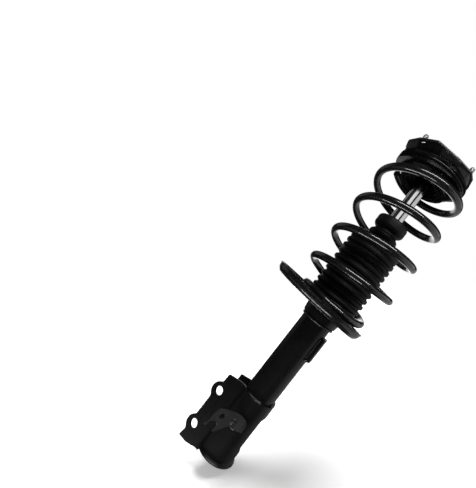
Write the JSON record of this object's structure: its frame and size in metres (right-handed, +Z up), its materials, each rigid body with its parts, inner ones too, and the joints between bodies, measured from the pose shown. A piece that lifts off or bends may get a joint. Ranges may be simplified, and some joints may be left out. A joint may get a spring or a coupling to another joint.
{
  "type": "strut assembly",
  "caption": "Suspension strut: damper tube with a folded knuckle bracket, coil spring between seats, dust boot, bump stop and a bearing top mount with studs.",
  "frame": {"origin": "on the damper axis, on the upper face of the mount plate, at the centre of the three studs", "axes": "+Z up along the damper axis and out along the studs, -X towards the knuckle flanges, Y along the knuckle bolts"},
  "size_m": [0.1762, 0.171, 0.6137],
  "materials": {
    "plate_steel": "satin black coating",
    "zinc_steel": "zinc plated",
    "mount_rubber": "matt, slightly dusty",
    "bearing_steel": "ground",
    "cage_plastic": "moulded",
    "seat_plastic": "moulded, satin",
    "seat_rubber": "matt",
    "spring_black": "gloss black powder coat",
    "black_steel": "satin black paint",
    "bracket_steel": "satin black paint",
    "sintered_steel": "dull grey",
    "rod_chrome": "hard chrome, ground",
    "seal_rubber": "moulded",
    "boot_rubber": "matt",
    "bump_foam": "matt cellular foam"
  },
  "bodies": {
    "top_mount": {"mount_plate": "plate_steel", "tower_studs": "zinc_steel", "mount_sleeve": "zinc_steel", "mount_rubber": "mount_rubber", "upper_bearing_race": "bearing_steel", "piston_rod": "rod_chrome", "piston": "sintered_steel", "piston_nut": "zinc_steel", "rebound_stop": "seal_rubber", "rod_washer": "zinc_steel", "rod_nut": "zinc_steel"},
    "ball_ring": {"bearing_balls": "bearing_steel", "bearing_cage": "cage_plastic"},
    "spring_seat": {"upper_spring_seat": "seat_plastic", "upper_insulator": "seat_rubber", "lower_bearing_race": "bearing_steel"},
    "strut_body": {"strut_tube": "black_steel", "base_cup": "black_steel", "base_valve": "sintered_steel", "pressure_cylinder": "sintered_steel", "rod_guide": "sintered_steel", "rod_seal": "seal_rubber", "tube_cap": "black_steel", "knuckle_bracket": "bracket_steel", "hose_bracket": "bracket_steel", "side_bracket": "bracket_steel", "lower_spring_seat": "black_steel", "lower_insulator": "seat_rubber", "seat_collar": "black_steel", "coil_spring": "spring_black", "dust_boot": "boot_rubber", "bump_stop": "bump_foam"}
  },
  "joints": [
    {"name": "steering_swivel", "type": "hinge", "parent": "top_mount", "child": "spring_seat", "pos_m": [0, 0, -0.02], "axis": [0, 0, 1], "range_deg": [-40, 40]},
    {"name": "bearing_roll", "type": "hinge", "parent": "top_mount", "child": "ball_ring", "pos_m": [0, 0, -0.02], "axis": [0, 0, 1], "range_deg": [-20, 20]},
    {"name": "damper_stroke", "type": "slide", "parent": "spring_seat", "child": "strut_body", "axis": [0, 0, 1], "range_m": [0, 0.105], "stiffness_N_per_m": 25000, "springref_m": -0.1, "deforming": ["coil_spring", "bump_stop"]}
  ],
  "couplings": [
    {"joint": "bearing_roll", "follows": "steering_swivel", "ratio": 0.5}
  ]
}
